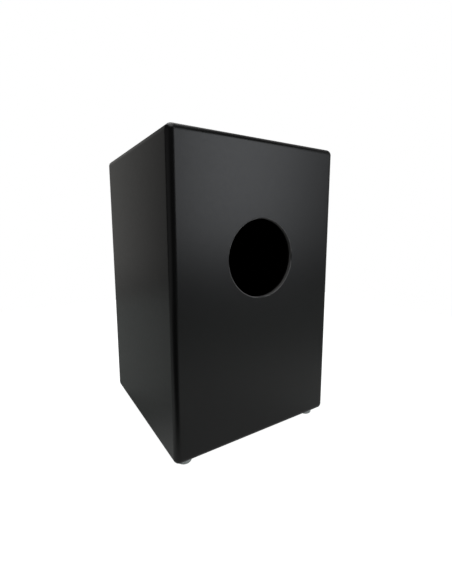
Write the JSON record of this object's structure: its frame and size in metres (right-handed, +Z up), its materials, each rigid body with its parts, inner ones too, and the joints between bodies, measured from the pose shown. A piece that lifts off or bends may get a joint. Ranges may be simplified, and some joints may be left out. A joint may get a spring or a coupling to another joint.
{
  "type": "cajon",
  "caption": "Box drum that is sat on and played with the hands: rounded black panels, a round sound port, a thin playing face, rubber feet and a turning snare bar inside.",
  "frame": {"origin": "centre of the footprint, on the floor under the feet", "axes": "+Z up, +Y out of the rear panel with the sound port, -Y out of the tapa, +X to the right of someone facing the tapa's front"},
  "size_m": [0.3, 0.303, 0.4782],
  "materials": {
    "black_lacquer": "satin black lacquer on board",
    "black_tapa": "satin black stained plywood",
    "stained_strip": "matt black stain on softwood",
    "stained_hardwood": "matt dark stain on beech",
    "black_steel": "black oxide",
    "bright_steel": "bright zinc or nickel",
    "brass": "turned",
    "grey_rubber": "matt"
  },
  "bodies": {
    "box": {"top_panel": "black_lacquer", "bottom_panel": "black_lacquer", "left_side_panel": "black_lacquer", "right_side_panel": "black_lacquer", "rear_panel": "black_lacquer", "tapa": "black_tapa", "front_batten_left": "stained_strip", "front_batten_right": "stained_strip", "front_batten_top": "stained_strip", "front_batten_bottom": "stained_strip", "rear_strip_left": "stained_strip", "rear_strip_right": "stained_strip", "rear_strip_top": "stained_strip", "rear_strip_bottom": "stained_strip", "snare_block_left": "stained_hardwood", "snare_block_right": "stained_hardwood", "block_screw_left_lower": "black_steel", "block_screw_left_upper": "black_steel", "block_screw_right_lower": "black_steel", "block_screw_right_upper": "black_steel", "tapa_screw_bottom_1": "black_steel", "tapa_screw_bottom_2": "black_steel", "tapa_screw_bottom_3": "black_steel", "tapa_screw_bottom_4": "black_steel", "tapa_screw_top_1": "black_steel", "tapa_screw_top_2": "black_steel", "tapa_screw_top_3": "black_steel", "tapa_screw_top_4": "black_steel", "tapa_screw_left_1": "black_steel", "tapa_screw_left_2": "black_steel", "tapa_screw_left_3": "black_steel", "tapa_screw_right_1": "black_steel", "tapa_screw_right_2": "black_steel", "tapa_screw_right_3": "black_steel", "foot_front_left": "grey_rubber", "foot_front_right": "grey_rubber", "foot_rear_left": "grey_rubber", "foot_rear_right": "grey_rubber", "foot_washer_front_left": "bright_steel", "foot_washer_front_right": "bright_steel", "foot_washer_rear_left": "bright_steel", "foot_washer_rear_right": "bright_steel", "foot_screw_front_left": "bright_steel", "foot_screw_front_right": "bright_steel", "foot_screw_rear_left": "bright_steel", "foot_screw_rear_right": "bright_steel", "lock_screw_insert": "brass"},
    "snare": {"snare_bar": "stained_hardwood", "snare_wires_left": "bright_steel", "snare_wires_right": "bright_steel", "plate_screw_left_inner": "bright_steel", "plate_screw_left_outer": "bright_steel", "plate_screw_right_inner": "bright_steel", "plate_screw_right_outer": "bright_steel"},
    "lock_screw": {"snare_lock_screw": "bright_steel"}
  },
  "joints": [
    {"name": "snare_swing", "type": "hinge", "parent": "box", "child": "snare", "pos_m": [0, -0.1159, 0.3282], "axis": [-1, 0, 0], "range_deg": [0, 90]},
    {"name": "lock_screw_turn", "type": "hinge", "parent": "box", "child": "lock_screw", "pos_m": [0.119, -0.0989, 0.3282], "axis": [0, 1, 0], "range_deg": [0, 180]}
  ]
}
